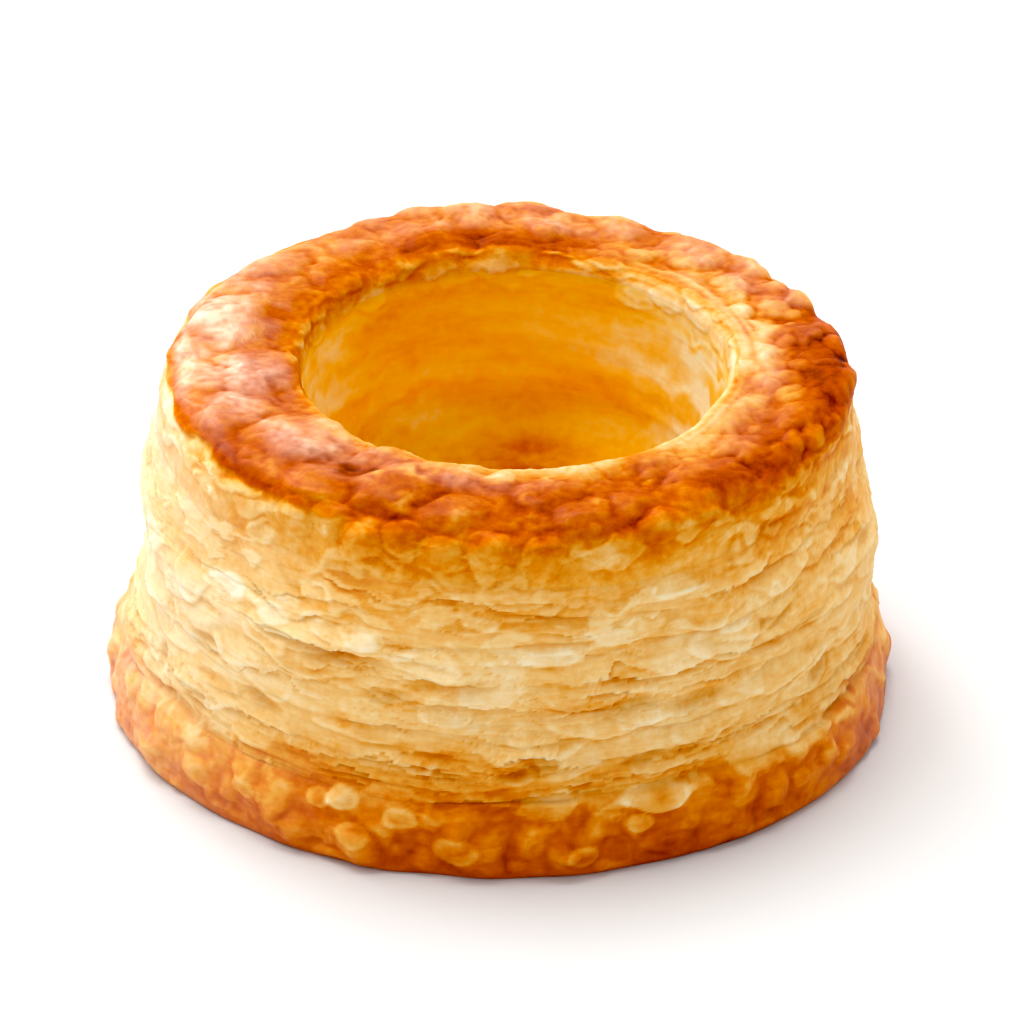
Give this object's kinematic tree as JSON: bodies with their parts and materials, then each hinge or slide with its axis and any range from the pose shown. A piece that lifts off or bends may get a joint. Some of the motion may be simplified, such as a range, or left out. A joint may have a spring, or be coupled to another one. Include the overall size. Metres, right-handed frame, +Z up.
{
  "type": "vol-au-vent",
  "caption": "Round case of puff pastry with a browned base, flaky layered side, blistered golden rim and an empty well for a filling.",
  "frame": {"origin": "middle of the flat underside, on the surface that the case stands on", "axes": "+Z up out of the well's mouth, -Y towards the side that the picture shows, +X to the right of that view"},
  "size_m": [0.0803, 0.0797, 0.0391],
  "materials": {
    "pastry": "satin, browned at the rim and base"
  },
  "bodies": {
    "root": {"pastry_case": "pastry"}
  },
  "joints": []
}
